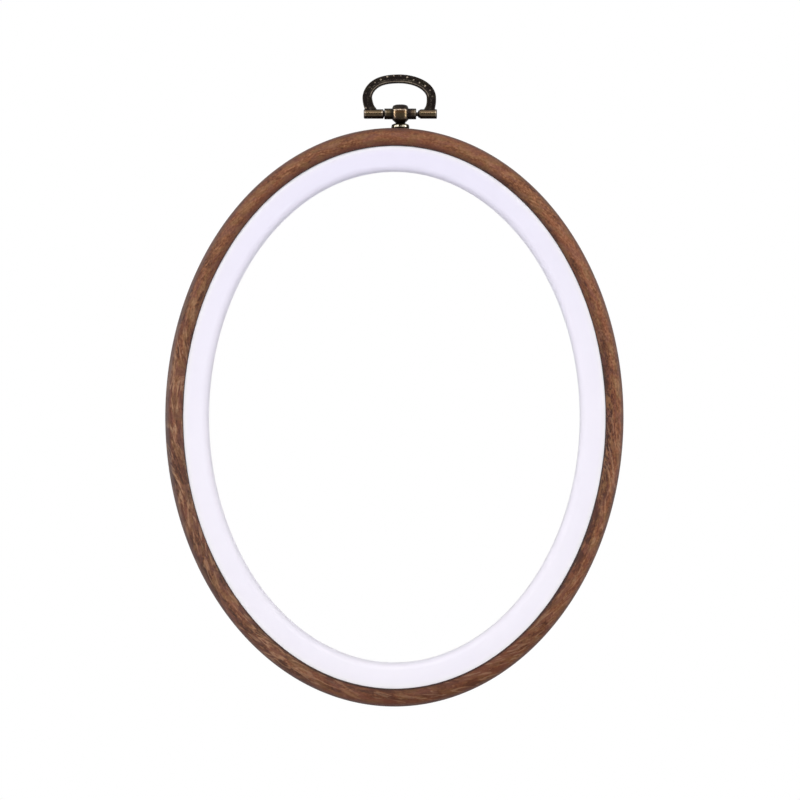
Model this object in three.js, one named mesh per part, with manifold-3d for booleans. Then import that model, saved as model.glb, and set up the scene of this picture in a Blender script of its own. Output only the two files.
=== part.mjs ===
// An oval embroidery hoop with a hanger, in millimetres, with +Z up and the front facing -Y.
// A flexible outer ring is stretched over a rigid inner ring. A bronze bail on a post hangs it up.
// The origin is the hanging point: the middle of the bail's crown, on its underside.
import * as THREE from 'three';
import { mergeVertices } from 'three/addons/utils/BufferGeometryUtils.js';
import Module from 'manifold-3d';

// The flexible outer ring
const openingWidth = 135.3; // its seen opening, side to side
const openingHeight = 173.9; // its seen opening, top to bottom
const ringFace = 5.85; // its width seen from the front
const ringDepth = 10; // front to back
const lipReach = 1.2; // how far its front lip covers the inner ring
const lipThickness = 1.5; // the lip, front to back
const shoulderRound = 2.4; // depth of the round at its outer front edge
const backRound = 1.8; // radius at its outer back edge
const boreChamfer = 0.4; // bevel at the back of its bore

// The rigid inner ring
const ringClearance = 0.2; // free space between the two rings
const bandSeen = 8; // its front band, from the lip to its inner edge
const bandThickness = 1.7; // the band, front to back
const bandEdgeRound = 1.5; // radius at the band's inner edge
const rimDepth = 4.8; // how far the inner edge turns back, from the band's front
const rimThickness = 1.6; // the turned-back rim, in to out
const wallThickness = 1.8; // the wall that the outer ring grips, in to out
const wallSetback = 0.3; // its back edge in front of the outer ring's back
const edgeChamfer = 0.3; // bevel on its sharp edges

// The bail
const bailHalfWidth = 10.3; // middle of its band to the centre line, at its widest
const bailShoulder = 5.3; // its widest place, above the pin
const bailRise = 6.08; // middle of the band at the crown, above the widest place
const bailBand = 2.84; // the band's width, seen from the front
const bailThickness = 2; // the band, front to back
const bailEdgeRound = 0.6; // radius on the band's edges
const armDrawIn = 1; // each foot inside the widest place
const footSink = 0.43; // how deep each foot goes into its knuckle
const knuckleRadius = 1.43;
const knuckleOverhang = 1.05; // the knuckle past the outside of its foot
const knuckleBevel = 0.3;
const sidePlay = 0.45; // each knuckle to the barrel

// The post, its pin and its collar
const hangerOffset = 1.9; // the hanger to the right of the oval's centre line
const pinOverRing = 4.6; // pin axis above the ring's top
const barrelRadius = 1.69;
const barrelHalfLength = 5.12;
const barrelBevel = 0.2;
const knobRadius = 2.68;
const knobTop = 3.1; // flat top above the pin
const knobFlat = 1.4; // radius of that flat top
const knobBottom = 2.8; // foot of the knob below the pin
const knobFoot = 1.5; // radius there
const neckRadius = 1.25;
const neckDepth = 1; // how far the neck goes into the ring
const pinRadius = 0.55;
const pinBevel = 0.1;
const pinEmbed = 3.8; // the pin's length in each knuckle
const pinEndPlay = 0.3;
const runningGap = 0.15; // round the pin, the neck and the screw
const collarRadius = 2.8;
const collarTopRadius = 1.7; // where its dome becomes flat
const collarEdge = 0.35; // its upright edge, under the dome
const collarGap = 0.05; // under and over the collar

// The screw and its washer, inside the flexible ring's wall
const screwRadius = 0.7;
const screwGrip = 2.6; // thread inside the post, above the ring's top
const screwTipBevel = 0.35;
const headRadius = 2;
const headThickness = 1.1;
const headBevel = 0.3;
const headSink = 0.3; // the head below the bore's surface
const slotWidth = 0.7;
const slotDepth = 0.5;
const washerRadius = 2.5;
const washerThickness = 0.4;
const pocketGap = 0.3; // round the washer
const stackGap = 0.05; // between washer, head and pocket floor
const cutMargin = 1; // how far a cutter starts outside what it cuts

// Fineness of the curves
const ovalSteps = 96;
const arcSteps = 3;
const bailSteps = 44;
const knobSteps = 5;
const roundSides = 28;
const smallSides = 16;

// Places worked out from the sizes
const frontY = -ringDepth / 2;
const backY = ringDepth / 2;
const lipBackY = frontY + lipThickness;
const bandFrontY = lipBackY + ringClearance;
const pinZ = -(bailShoulder + bailRise - bailBand / 2);
const ringTopZ = pinZ - pinOverRing;
const hoopZ = ringTopZ - ringFace - openingHeight / 2;
const boreTopZ = ringTopZ - ringFace + lipReach;
const stackHeight = headThickness + washerThickness + 2 * stackGap;
const pocketFloorZ = boreTopZ + headSink + stackHeight;
const footX = bailHalfWidth - armDrawIn;
const footDrop = bailShoulder - knuckleRadius + footSink;
const armAngle = Math.acos(footX / bailHalfWidth);
const armOval = footDrop / Math.sin(armAngle);
const knuckleInner = barrelHalfLength + sidePlay;
const knuckleOuter = footX + bailBand / 2 + knuckleOverhang;
const pinHalfLength = knuckleInner + pinEmbed;

const wasm = await Module();
wasm.setup();

// Colours, seen in the photo
const grainBrown = new THREE.MeshStandardMaterial({ color: 0x825a44, roughness: 0.55, metalness: 0 });
const bandWhite = new THREE.MeshStandardMaterial({ color: 0xf0ecfa, roughness: 0.45, metalness: 0 });
const bronze = new THREE.MeshStandardMaterial({ color: 0x4a4034, roughness: 0.4, metalness: 0.9 });
const brightBrass = new THREE.MeshStandardMaterial({ color: 0xc8b880, roughness: 0.25, metalness: 1 });
const steel = new THREE.MeshStandardMaterial({ color: 0x9a9a98, roughness: 0.35, metalness: 1 });

const hoop = new THREE.Group();

// Adds a named piece to the group.
function addPiece(name, geometry, material) {
  geometry.computeVertexNormals();
  const piece = new THREE.Mesh(geometry, material);
  piece.name = name;
  hoop.add(piece);
  return piece;
}

// Turns a closed geometry into a solid that can be cut and joined.
function toSolid(geometry) {
  const bare = geometry.clone();
  bare.deleteAttribute('normal');
  bare.deleteAttribute('uv');
  const merged = mergeVertices(bare, 1e-4);
  const vertProperties = new Float32Array(merged.attributes.position.array);
  const triVerts = new Uint32Array(merged.index.array);
  return new wasm.Manifold(new wasm.Mesh({ numProp: 3, vertProperties, triVerts }));
}

// Turns a solid back into a geometry.
function toGeometry(solid) {
  const mesh = solid.getMesh();
  const geometry = new THREE.BufferGeometry();
  geometry.setAttribute('position', new THREE.BufferAttribute(new Float32Array(mesh.vertProperties), 3));
  geometry.setIndex(new THREE.BufferAttribute(new Uint32Array(mesh.triVerts), 1));
  return geometry;
}

// Carries a profile of (outward, back) points along stations, each with a place and an outward direction.
// Closed stations make a ring. Open ones get a flat cap at each end.
function carryProfile(outline, stations, closed) {
  const area = THREE.ShapeUtils.area(outline);
  const profile = area < 0 ? outline : [...outline].reverse();
  const count = profile.length;
  const positions = [];
  for (const station of stations) {
    for (const point of profile) {
      positions.push(station.x + point.x * station.outX, point.y, station.z + point.x * station.outZ);
    }
  }
  const index = [];
  const spans = closed ? stations.length : stations.length - 1;
  for (let i = 0; i < spans; i += 1) {
    const here = i * count;
    const next = ((i + 1) % stations.length) * count;
    for (let j = 0; j < count; j += 1) {
      const k = (j + 1) % count;
      index.push(here + j, next + k, here + k);
      index.push(here + j, next + j, next + k);
    }
  }
  if (!closed) {
    const last = (stations.length - 1) * count;
    for (const [a, b, c] of THREE.ShapeUtils.triangulateShape(profile, [])) {
      index.push(a, c, b);
      index.push(last + a, last + b, last + c);
    }
  }
  const geometry = new THREE.BufferGeometry();
  geometry.setAttribute('position', new THREE.Float32BufferAttribute(positions, 3));
  geometry.setIndex(index);
  return geometry;
}

// Stations round the oval of the outer ring's opening, each pointing straight out from its edge.
function ovalStations() {
  const wide = openingWidth / 2;
  const tall = openingHeight / 2;
  const stations = [];
  for (let i = 0; i < ovalSteps; i += 1) {
    const angle = (2 * Math.PI * i) / ovalSteps;
    const cos = Math.cos(angle);
    const sin = Math.sin(angle);
    const length = Math.hypot(tall * cos, wide * sin);
    stations.push({
      x: wide * cos - hangerOffset,
      z: tall * sin + hoopZ,
      outX: (tall * cos) / length,
      outZ: (wide * sin) / length,
    });
  }
  return stations;
}

// Stations along the bail's band: a half oval for the crown, and a taller oval where the arms draw in.
function bailStations() {
  const sweep = Math.PI + 2 * armAngle;
  const stations = [];
  for (let i = 0; i <= bailSteps; i += 1) {
    const angle = (sweep * i) / bailSteps - armAngle;
    const cos = Math.cos(angle);
    const sin = Math.sin(angle);
    const half = sin > 0 ? bailRise : armOval;
    const length = Math.hypot(half * cos, bailHalfWidth * sin);
    stations.push({
      x: bailHalfWidth * cos,
      z: pinZ + bailShoulder + half * sin,
      outX: (half * cos) / length,
      outZ: (bailHalfWidth * sin) / length,
    });
  }
  return stations;
}

// A round solid about +Z from (radius, height) points that start and end on the axis or close on themselves.
function turnUpright(points, sides) {
  const profile = points.map(([radius, height]) => new THREE.Vector2(radius, height));
  const geometry = new THREE.LatheGeometry(profile, sides);
  geometry.rotateX(Math.PI / 2);
  return geometry;
}

// A round bar along X from one place to another, with a bevel at each end.
function barAlongX(radius, from, to, bevel, sides) {
  const points = [[0, from], [radius - bevel, from], [radius, from + bevel]];
  points.push([radius, to - bevel], [radius - bevel, to], [0, to]);
  const geometry = turnUpright(points, sides);
  geometry.rotateY(Math.PI / 2);
  return geometry;
}

// A plain round bar about +Z between two heights, for holes and shanks.
function barUpright(radius, low, high, sides) {
  return turnUpright([[0, low], [radius, low], [radius, high], [0, high]], sides);
}

// The flexible ring: a crowned front with a lip, a round back corner and a plain bore.
function outerRingProfile() {
  const middle = ringFace / 2;
  const path = new THREE.Path();
  path.moveTo(0, lipBackY);
  path.absellipse(middle, lipBackY, middle, lipThickness, Math.PI, 1.5 * Math.PI, false);
  path.absellipse(middle, frontY + shoulderRound, middle, shoulderRound, 1.5 * Math.PI, 2 * Math.PI, false);
  path.lineTo(ringFace, backY - backRound);
  path.absarc(ringFace - backRound, backY - backRound, backRound, 0, 0.5 * Math.PI, false);
  path.lineTo(lipReach + boreChamfer, backY);
  path.lineTo(lipReach, backY - boreChamfer);
  path.lineTo(lipReach, lipBackY);
  return uniquePoints(path.getPoints(arcSteps));
}

// The rigid ring: a gripped wall, a wide front band, and a rounded edge that turns back as a rim.
function innerRingProfile() {
  const wallOuter = lipReach - ringClearance;
  const wallInner = wallOuter - wallThickness;
  const rimInner = -bandSeen;
  const rimOuter = rimInner + rimThickness;
  const rimBackY = bandFrontY + rimDepth;
  const bandBackY = bandFrontY + bandThickness;
  const wallBackY = backY - wallSetback;
  const path = new THREE.Path();
  path.moveTo(wallOuter, bandFrontY + edgeChamfer);
  path.lineTo(wallOuter, wallBackY - edgeChamfer);
  path.lineTo(wallOuter - edgeChamfer, wallBackY);
  path.lineTo(wallInner, wallBackY);
  path.lineTo(wallInner, bandBackY);
  path.lineTo(rimOuter, bandBackY);
  path.lineTo(rimOuter, rimBackY - edgeChamfer);
  path.lineTo(rimOuter - edgeChamfer, rimBackY);
  path.lineTo(rimInner + edgeChamfer, rimBackY);
  path.lineTo(rimInner, rimBackY - edgeChamfer);
  path.lineTo(rimInner, bandFrontY + bandEdgeRound);
  const roundX = rimInner + bandEdgeRound;
  path.absarc(roundX, bandFrontY + bandEdgeRound, bandEdgeRound, Math.PI, 1.5 * Math.PI, false);
  path.lineTo(wallOuter - edgeChamfer, bandFrontY);
  return uniquePoints(path.getPoints(arcSteps));
}

// The bail's band: a flat bar with round edges.
function bailProfile() {
  const wide = bailBand / 2 - bailEdgeRound;
  const thick = bailThickness / 2 - bailEdgeRound;
  const path = new THREE.Path();
  const corners = [[wide, thick], [-wide, thick], [-wide, -thick], [wide, -thick]];
  corners.forEach(([x, y], i) => {
    path.absarc(x, y, bailEdgeRound, (i * Math.PI) / 2, ((i + 1) * Math.PI) / 2, false);
  });
  return uniquePoints(path.getPoints(1));
}

// Leaves out points that repeat the one before them, or the first.
function uniquePoints(points) {
  const kept = points.filter((point, i) => i === 0 || point.distanceTo(points[i - 1]) > 1e-6);
  if (kept[0].distanceTo(kept[kept.length - 1]) < 1e-6) {
    kept.pop();
  }
  return kept;
}

// The outer ring, with the hole and pocket for the post's screw through the top of its wall
function makeOuterRing() {
  const ring = toSolid(carryProfile(outerRingProfile(), ovalStations(), true));
  const low = boreTopZ - cutMargin;
  const hole = toSolid(barUpright(neckRadius + runningGap, low, ringTopZ + cutMargin, smallSides));
  const pocket = toSolid(barUpright(washerRadius + pocketGap, low, pocketFloorZ, roundSides));
  return toGeometry(ring.subtract(hole).subtract(pocket));
}

// The bail: its band joined to a knuckle at each foot, with a blind hole for the pin in each
function makeBail() {
  let bail = toSolid(carryProfile(bailProfile(), bailStations(), false));
  const holeEnd = pinHalfLength + pinEndPlay;
  for (const side of [-1, 1]) {
    const ends = [side * knuckleInner, side * knuckleOuter].sort((a, b) => a - b);
    const knuckle = barAlongX(knuckleRadius, ends[0], ends[1], knuckleBevel, roundSides);
    bail = bail.add(toSolid(knuckle.translate(0, 0, pinZ)));
  }
  const bore = barAlongX(pinRadius + runningGap, -holeEnd, holeEnd, 0, smallSides);
  return toGeometry(bail.subtract(toSolid(bore.translate(0, 0, pinZ))));
}

// The knob's outline from its foot to its flat top: two oval arcs that meet at its widest, level with the pin
function knobPoints() {
  const footAngle = Math.acos(knobFoot / knobRadius);
  const flatAngle = Math.acos(knobFlat / knobRadius);
  const lowerHalf = knobBottom / Math.sin(footAngle);
  const upperHalf = knobTop / Math.sin(flatAngle);
  const points = [];
  for (let i = -knobSteps; i <= knobSteps; i += 1) {
    const angle = ((i < 0 ? footAngle : flatAngle) * i) / knobSteps;
    points.push([knobRadius * Math.cos(angle), (i < 0 ? lowerHalf : upperHalf) * Math.sin(angle)]);
  }
  return points;
}

// The post: a knob on a neck, crossed by the barrel, bored for the pin and tapped for the screw
function makePost() {
  const neckLow = -pinOverRing - neckDepth;
  const points = [[0, neckLow], [neckRadius, neckLow], [neckRadius, -knobBottom - collarGap]];
  points.push(...knobPoints(), [0, knobTop]);
  const knob = toSolid(turnUpright(points, roundSides));
  const end = barrelHalfLength;
  const barrel = toSolid(barAlongX(barrelRadius, -end, end, barrelBevel, roundSides));
  const bore = toSolid(barAlongX(pinRadius + runningGap, -knuckleInner, knuckleInner, 0, smallSides));
  const tapHigh = screwGrip - pinOverRing + pinEndPlay;
  const tap = toSolid(barUpright(screwRadius + runningGap, neckLow - cutMargin, tapHigh, smallSides));
  return toGeometry(knob.add(barrel).subtract(bore).subtract(tap)).translate(0, 0, pinZ);
}

// The pin, whose ends stop short of the bottoms of the knuckles' holes
function makePin() {
  const pin = barAlongX(pinRadius, -pinHalfLength, pinHalfLength, pinBevel, smallSides);
  return pin.translate(0, 0, pinZ);
}

// The domed collar that the knob clamps on the ring's top
function makeCollar() {
  const low = ringTopZ + collarGap;
  const high = pinZ - knobBottom - 2 * collarGap;
  const inner = neckRadius + runningGap;
  const domeZ = low + collarEdge;
  const domeWide = collarRadius - collarTopRadius;
  const path = new THREE.Path([new THREE.Vector2(inner, low), new THREE.Vector2(collarRadius, low)]);
  path.absellipse(collarTopRadius, domeZ, domeWide, high - domeZ, 0, Math.PI / 2, false);
  path.lineTo(inner, high);
  path.lineTo(inner, low);
  return turnUpright(path.getPoints(arcSteps).map((point) => [point.x, point.y]), roundSides);
}

// The slotted screw, driven up from inside the ring's wall through the washer into the post
function makeScrew() {
  const headLow = pocketFloorZ - stackHeight;
  const headTop = headLow + headThickness;
  const tip = ringTopZ + screwGrip;
  const points = [[0, headLow], [headRadius - headBevel, headLow], [headRadius, headLow + headBevel]];
  points.push([headRadius, headTop], [screwRadius, headTop], [screwRadius, tip - screwTipBevel]);
  points.push([screwRadius - screwTipBevel, tip], [0, tip]);
  const slot = new THREE.BoxGeometry(2 * (headRadius + cutMargin), slotWidth, 2 * slotDepth);
  slot.translate(0, 0, headLow);
  return toGeometry(toSolid(turnUpright(points, roundSides)).subtract(toSolid(slot)));
}

// The washer under the screw's head
function makeWasher() {
  const high = pocketFloorZ - stackGap;
  const low = high - washerThickness;
  const inner = screwRadius + 2 * runningGap;
  const points = [[inner, low], [washerRadius, low], [washerRadius, high], [inner, high], [inner, low]];
  return turnUpright(points, roundSides);
}

addPiece('outer_ring', makeOuterRing(), grainBrown);
addPiece('inner_ring', carryProfile(innerRingProfile(), ovalStations(), true), bandWhite);
addPiece('hanger_bail', makeBail(), bronze);
addPiece('hanger_post', makePost(), bronze);
addPiece('hinge_pin', makePin(), steel);
addPiece('post_collar', makeCollar(), brightBrass);
addPiece('post_screw', makeScrew(), steel);
addPiece('screw_washer', makeWasher(), steel);

export default hoop;
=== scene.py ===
# %% [markdown]
# # An oval embroidery hoop on a bronze bail
# A flexible hoop is two ovals. The outer one is soft vinyl with a printed wood grain, and it is stretched
# over a rigid white plastic one, so that the cloth is gripped between them. A small bronze bail on a post
# stands on top, and the finished work hangs from it in the same hoop.
# The mechanical model is already there and gives every piece its place and size. This lesson works each
# piece out again as a fine, smooth surface, and gives it the finish of the real one.

import bpy
import numpy as np
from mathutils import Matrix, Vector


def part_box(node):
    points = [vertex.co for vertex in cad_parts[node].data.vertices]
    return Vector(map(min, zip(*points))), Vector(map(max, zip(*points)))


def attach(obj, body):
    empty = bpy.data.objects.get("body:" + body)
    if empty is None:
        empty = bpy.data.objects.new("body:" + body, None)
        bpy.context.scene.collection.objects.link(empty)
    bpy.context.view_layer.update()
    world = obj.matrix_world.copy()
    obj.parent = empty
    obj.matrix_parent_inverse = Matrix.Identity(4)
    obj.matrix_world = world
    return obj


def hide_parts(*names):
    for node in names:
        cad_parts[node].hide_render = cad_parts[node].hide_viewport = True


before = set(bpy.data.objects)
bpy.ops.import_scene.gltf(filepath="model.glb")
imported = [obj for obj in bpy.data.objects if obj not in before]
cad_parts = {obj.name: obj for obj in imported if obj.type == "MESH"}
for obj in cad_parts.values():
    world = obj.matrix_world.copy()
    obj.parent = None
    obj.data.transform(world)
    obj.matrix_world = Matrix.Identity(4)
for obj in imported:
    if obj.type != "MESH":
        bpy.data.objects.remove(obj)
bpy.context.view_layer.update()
print("pieces of the frame:", sorted(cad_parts))

# %% [markdown]
# ## Sizes
# A piece drawn by eye would not meet its neighbour, so places and outer sizes are read from the frame's
# boxes. Only what a box can't tell, such as a radius on an edge, is written here. All of it is in
# millimetres, because that is how such small parts are measured, and becomes metres in the mesh.

# %% Sizes read from the frame
MM = 0.001


def box_of(node):
    """The lowest and highest corner of a piece of the frame, in millimetres."""
    low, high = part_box(node)
    return np.array(low) / MM, np.array(high) / MM


def half_size(node, axis=0):
    """Half of a piece's size along an axis, which is the radius of a round piece."""
    low, high = box_of(node)
    return (high[axis] - low[axis]) / 2


ring_low, ring_high = box_of("outer_ring")
band_low, band_high = box_of("inner_ring")
pin_low, pin_high = box_of("hinge_pin")
post_low, post_high = box_of("hanger_post")
collar_low, collar_high = box_of("post_collar")
screw_low, screw_high = box_of("post_screw")
washer_low, washer_high = box_of("screw_washer")
bail_low, bail_high = box_of("hanger_bail")

ring_face = 5.85
oval_middle = (ring_low + ring_high) / 2
opening_wide = half_size("outer_ring") - ring_face
opening_tall = half_size("outer_ring", 2) - ring_face
pin_height = (pin_low[2] + pin_high[2]) / 2
pin_radius = half_size("hinge_pin", 2)
print("opening, across and tall:", round(2 * opening_wide, 2), round(2 * opening_tall, 2), "mm")
print("pin, above the ring's top:", round(pin_height - ring_high[2], 2), "mm")

# %% [markdown]
# ## The camera
# The photograph looks straight at the hoop from the front. A long lens from about a metre keeps the
# ovals true, and shows a hair of the inner walls on every side, as the photograph does. The scale was
# taken from the photograph's two dimension lines, and the distance follows from it: a lens shows focal
# length over sensor width times the picture's width in pixels, for each metre at one metre away. The
# distance is counted from where the vinyl ring is widest, because that is the outline one sees.

# %% Camera
picture_pixels = 800
pixels_per_metre = 3118
lens_length = 135.0
sensor_width = 36.0
view_height = -0.10183
view_aside = -0.0001
shoulder = 2.4

distance = lens_length / sensor_width * picture_pixels / pixels_per_metre
camera_data = bpy.data.cameras.new("camera")
camera_data.lens = lens_length
camera_data.sensor_width = sensor_width
camera = bpy.data.objects.new("camera", camera_data)
camera.location = (view_aside, (ring_low[1] + shoulder) * MM - distance, view_height)
camera.rotation_euler = (np.pi / 2, 0, 0)
bpy.context.scene.collection.objects.link(camera)
bpy.context.scene.camera = camera
print("camera distance:", round(distance, 4), "m")

# %% [markdown]
# ## Shorthand for nodes
# Every finish here, and the room too, is a small network of nodes. Written out call by call such
# networks are long, so one class adds a node, sets it and links it in a line, and a second one puts the
# network in front of a Principled shader. Colours are written as they look on a screen, 0 to 255, and
# are turned into the linear light that Blender counts in.

# %% Screen colours
def paint(red, green, blue):
    """Screen colour to linear light: (c + 0.055) / 1.055 to the power 2.4, and c / 12.92 in the darks."""
    screen = np.array([red, green, blue]) / 255
    linear = np.where(screen <= 0.04045, screen / 12.92, ((screen + 0.055) / 1.055) ** 2.4)
    return (*linear.tolist(), 1.0)


print("white on screen is", paint(255, 255, 255)[:3], "and mid grey is", paint(128, 128, 128)[:3])


# %% A class that builds networks of nodes
class Network:
    """A tree of shader nodes, and short ways to add to it."""

    def __init__(self, tree):
        self.tree = tree

    def feed(self, socket, value):
        """Links a socket if the value is another socket, and otherwise sets it."""
        if isinstance(value, bpy.types.NodeSocket):
            self.tree.links.new(value, socket)
        else:
            socket.default_value = value

    def add(self, kind, inputs=(), **settings):
        """A new node with its settings, and its inputs given by number or name."""
        node = self.tree.nodes.new("ShaderNode" + kind)
        for key, value in settings.items():
            setattr(node, key, value)
        for key, value in dict(inputs).items():
            self.feed(node.inputs[key], value)
        return node

    def maths(self, operation, first, second=0.0, third=0.0):
        """One sum on numbers."""
        return self.add("Math", {0: first, 1: second, 2: third}, operation=operation).outputs[0]

    def times(self, first, second):
        """One number times another."""
        return self.maths("MULTIPLY", first, second)

    def unsettle(self, value, noise, amount):
        """Adds to a value how far a noise is from one half, times an amount."""
        return self.maths("MULTIPLY_ADD", self.maths("SUBTRACT", noise, 0.5), amount, value)

    def stretch(self, vector, scale):
        """A vector times a scale along each of its axes."""
        return self.add("VectorMath", {0: vector, 1: scale}, operation="MULTIPLY").outputs[0]

    def mix(self, share, first, second):
        """Two colours, mixed by a share."""
        return self.add("Mix", {0: share, 6: first, 7: second}, data_type="RGBA").outputs[2]

    def mix_values(self, share, first, second):
        """Two numbers, mixed by a share."""
        return self.add("Mix", {0: share, 2: first, 3: second}).outputs[0]

    def noise(self, vector, detail=2.0, rough=0.5, scale=1.0, twist=0.0):
        """Smooth random values from 0 to 1, about one bump for each unit of the vector over the scale."""
        inputs = {"Vector": vector, "Scale": scale, "Detail": detail, "Roughness": rough}
        return self.add("TexNoise", {**inputs, "Distortion": twist}).outputs[0]

    def between(self, value, low, high, out_low=0.0, out_high=1.0, ends="SMOOTHSTEP"):
        """Spreads low to high over out_low to out_high, with soft ends unless told, and stops there."""
        inputs = {0: value, 1: low, 2: high, 3: out_low, 4: out_high}
        return self.add("MapRange", inputs, interpolation_type=ends).outputs[0]

    def painted(self, name, part="Fac"):
        """What a piece's own attribute says at each place."""
        return self.add("Attribute", attribute_name=name).outputs[part]

    def place(self):
        """The place on the piece, in metres."""
        return self.add("TexCoord").outputs["Object"]

    def seen_by_camera(self):
        """One where the camera looks straight at it, and nought elsewhere."""
        return self.add("LightPath").outputs["Is Camera Ray"]

    def seen_in_gloss(self):
        """One where gloss or glass shows it, and nought elsewhere."""
        ray = self.add("LightPath").outputs
        return self.maths("MAXIMUM", ray["Is Glossy Ray"], ray["Is Transmission Ray"])


print("shorthand for nodes:", [name for name in vars(Network) if not name.startswith("_")])


# %% A class that puts a network in front of a shader
class Finish(Network):
    """A material with one Principled shader behind its network."""

    def __init__(self, name, **constants):
        self.material = bpy.data.materials.new(name)
        self.material.use_nodes = True
        super().__init__(self.material.node_tree)
        self.shader = self.tree.nodes["Principled BSDF"]
        self.give(**constants)

    def give(self, **values):
        """Sets or feeds the shader's named sockets."""
        for socket, value in values.items():
            self.feed(self.shader.inputs[socket.replace("_", " ")], value)

    def bump(self, height, distance):
        """Tilts the surface as if height, from 0 to 1, stood out by that distance in metres."""
        node = self.add("Bump", {"Height": height, "Distance": distance, "Strength": 1.0})
        self.give(Normal=node.outputs[0])


print("and for finishes:", [name for name in vars(Finish) if not name.startswith("_")])

# %% [markdown]
# ## Light and room
# The photograph's background is pure white and shows no shadow, as a product picture does. Turning the
# lamps up until the floor burns out would bleach the hoop as well. So the room is white only for what
# the camera and the reflections see, and the light that falls on the hoop stays at a plain level. Most
# of that light comes from the height of the horizon and little from above, so that the white band's
# rounded inner edge darkens all the way round.
# A photographer stands in a dim part of the room, which is why the middle of every round bronze piece
# is dark in the photograph, between two bright bars. The world does the same: in reflections it is dim
# towards the camera, and white above and elsewhere.

# %% World
light_low = 0.78
light_high = 0.20
dim_side = 0.3
dim_until = -0.55
white_from = -0.15
above_counts = 0.9

world = bpy.data.worlds.new("white_room")
bpy.context.scene.world = world
world.use_nodes = True
room = Network(world.node_tree)
direction = room.add("SeparateXYZ", {0: room.add("TexCoord").outputs["Generated"]}).outputs
soft_light = room.between(direction[2], 0.0, 1.0, light_low, light_high, "LINEAR")
above = room.maths("MAXIMUM", direction[2], 0.0)
backward = room.maths("MULTIPLY_ADD", above, above_counts, direction[1])
mirrored = room.between(backward, dim_until, white_from, dim_side, 1.0)
lit = room.mix_values(room.seen_in_gloss(), soft_light, mirrored)
background = room.tree.nodes["Background"]
room.feed(background.inputs["Strength"], room.mix_values(room.seen_by_camera(), lit, 1.0))
room.feed(background.inputs["Color"], (1, 1, 1, 1))
print("world light from", light_low, "at the horizon to", light_high, "above")

# %% [markdown]
# Two soft lamps light the hoop. The main one hangs above the camera, a little to the left, and the
# other stands behind, so that the back is lit too. The gloss is lit apart from them, by strips that only
# reflections see: a wide low one above draws the thin bright line on the bronze bars and adds to the top
# of the bright frame on the knob, which is also a painted highlight, and two upright ones at the sides
# draw the frame's uprights. So the strips can be placed for the bronze alone, and the white plastic
# stays as bright as it is. An area lamp's power is its brightness times pi times its area.

# %% Lamps
lamps = {
    "main_lamp": {"place": (-0.3, -2.2, 1.0), "size": (2.6, 0.6), "brightness": 6.9},
    "top_strip": {"place": (-0.5, -2.2, 1.5), "size": (2.6, 0.6), "brightness": 3.0},
    "left_strip": {"place": (-1.5, -0.06, 0.1), "size": (0.12, 1.0), "brightness": 22.0},
    "right_strip": {"place": (1.5, -0.36, 0.1), "size": (0.2, 1.0), "brightness": 9.5},
    "back_lamp": {"place": (0.9, 2.1, 0.35), "size": (1.0, 0.8), "brightness": 5.0},
}


def add_lamp(name, place, size, brightness):
    """A rectangular lamp that faces the middle of the hoop. A strip shows only in gloss, a lamp never."""
    data = bpy.data.lights.new(name, "AREA")
    data.shape = "RECTANGLE"
    data.size, data.size_y = size
    data.energy = brightness * np.pi * size[0] * size[1]
    lamp = bpy.data.objects.new(name, data)
    bpy.context.scene.collection.objects.link(lamp)
    lamp.location = place
    aim = Vector(oval_middle * MM) - lamp.location
    lamp.rotation_euler = aim.to_track_quat("-Z", "Y").to_euler()
    lamp.visible_camera = False
    lamp.visible_glossy = name.endswith("strip")
    lamp.visible_diffuse = not lamp.visible_glossy
    return data.energy


for lamp_name, lamp_settings in lamps.items():
    print(lamp_name, round(add_lamp(lamp_name, **lamp_settings), 1), "watts")

# %% [markdown]
# ## Surfaces from arrays
# Modelling by hand in edit mode can't be repeated exactly, and a stack of modifiers hides the shape in
# its settings. Here a piece is a grid of points: a section of a few dozen points, carried along a path
# or turned about an axis, all worked out at once with numpy. The faces join each point to its
# neighbours, and the sign of the volume that they enclose tells whether they face outwards.

# %% Faces of a grid
def grid_faces(rows, columns, ring_rows):
    """Quads between each point of a grid, the next round its row and the two beside them in the next row."""
    row = np.arange(rows if ring_rows else rows - 1)[:, None]
    column = np.arange(columns)[None, :]
    next_row = (row + 1) % rows
    next_column = (column + 1) % columns
    corners = (
        row * columns + column,
        next_row * columns + column,
        next_row * columns + next_column,
        row * columns + next_column,
    )
    return np.stack(corners, -1).reshape(-1, 4)


def end_fans(rows, columns):
    """Triangles from the first and the last row of a grid to two points that follow the grid's own."""
    around = np.arange(columns)
    after = (around + 1) % columns
    last = (rows - 1) * columns
    first_fan = np.stack([around, after, np.full(columns, rows * columns)], -1)
    last_fan = np.stack([last + after, last + around, np.full(columns, rows * columns + 1)], -1)
    return [first_fan, last_fan]


def volume_of(points, faces):
    """Six times the signed volume: for each triangle of a face's fan, the triple product of its corners."""
    total = 0.0
    for group in faces:
        for corner in range(1, group.shape[1] - 1):
            first, second, third = (points[group[:, k]] for k in (0, corner, corner + 1))
            total += np.einsum("ij,ij->", first, np.cross(second, third))
    return total


print("a 3 by 4 ring grid has", len(grid_faces(3, 4, True)), "faces")

# %% Meshes
crease = 35.0


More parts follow.
